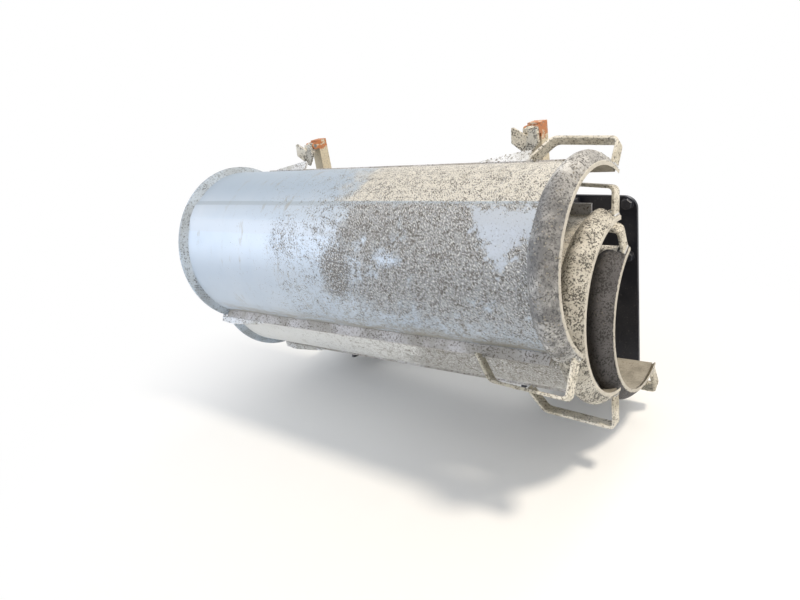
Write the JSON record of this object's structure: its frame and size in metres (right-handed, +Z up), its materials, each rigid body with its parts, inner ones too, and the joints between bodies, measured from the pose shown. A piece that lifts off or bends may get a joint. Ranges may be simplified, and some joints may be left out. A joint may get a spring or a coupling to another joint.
{
  "type": "stowed concrete chute extension set with side rack",
  "caption": "Nested half-round concrete chute extensions resting in a side rack with bolted hanger plates, rubber cradles, posts and swinging catches.",
  "frame": {"origin": "Centre of the hanger plates' bolt pattern, on the face that lies on the chassis rail.", "axes": "+X forward along the truck, +Y inward to the chassis rail, +Z up."},
  "size_m": [1.2377, 0.7177, 0.828],
  "materials": {
    "chute_sheet": "weathered mill-finish sheet with dried concrete",
    "chute_collar": "weathered, spattered, with a bright worn lip",
    "rim_bar": "weathered, dust streaked",
    "worn_lug": "worn and stained",
    "handle_strap": "worn, spattered",
    "rack_paint": "dark navy paint, semi-gloss, dusty",
    "post_paint": "worn orange and cream paint",
    "pad_rubber": "black rubber",
    "pin_steel": "plain steel, dull",
    "catch_metal": "worn, stained"
  },
  "bodies": {
    "rack": {"hanger_plate_front": "rack_paint", "cradle_rib_front": "rack_paint", "cradle_pad_front": "pad_rubber", "post_arm_front": "rack_paint", "post_front": "post_paint", "catch_pin_front": "pin_steel", "hanger_plate_rear": "rack_paint", "cradle_rib_rear": "rack_paint", "cradle_pad_rear": "pad_rubber", "post_arm_rear": "rack_paint", "post_rear": "post_paint", "catch_pin_rear": "pin_steel"},
    "chute_inner": {"inner_trough": "chute_sheet", "inner_front_collar": "chute_collar", "inner_rear_collar": "chute_sheet", "inner_rim_flanges": "rim_bar", "inner_ramp_lugs": "worn_lug", "inner_upper_handle": "handle_strap", "inner_lower_handle": "handle_strap"},
    "chute_middle": {"middle_trough": "chute_sheet", "middle_front_collar": "chute_collar", "middle_rear_collar": "chute_sheet", "middle_rim_flanges": "rim_bar", "middle_ramp_lugs": "worn_lug", "middle_upper_handle": "handle_strap", "middle_lower_handle": "handle_strap"},
    "chute_outer": {"outer_trough": "chute_sheet", "outer_front_collar": "chute_collar", "outer_rear_collar": "chute_sheet", "outer_rim_flanges": "rim_bar", "outer_ramp_lugs": "worn_lug", "outer_upper_handle": "handle_strap", "outer_lower_handle": "handle_strap"},
    "catch_front": {"catch_arm_front": "catch_metal", "catch_plate_front": "catch_metal"},
    "catch_rear": {"catch_arm_rear": "catch_metal", "catch_plate_rear": "catch_metal"}
  },
  "joints": [
    {"name": "inner_chute_lift", "type": "slide", "parent": "rack", "child": "chute_inner", "axis": [0, -0.866, 0.5], "range_m": [0, 0.3]},
    {"name": "middle_chute_lift", "type": "slide", "parent": "chute_inner", "child": "chute_middle", "axis": [0, -0.866, 0.5], "range_m": [0, 0.3]},
    {"name": "outer_chute_lift", "type": "slide", "parent": "chute_middle", "child": "chute_outer", "axis": [0, -0.866, 0.5], "range_m": [0, 0.3]},
    {"name": "front_catch_pivot", "type": "hinge", "parent": "rack", "child": "catch_front", "pos_m": [0.3688, -0.22377, 0.31834], "axis": [-1, 0, 0], "range_deg": [0, 80]},
    {"name": "rear_catch_pivot", "type": "hinge", "parent": "rack", "child": "catch_rear", "pos_m": [-0.42812, -0.23489, 0.30519], "axis": [-1, 0, 0], "range_deg": [0, 80]}
  ]
}
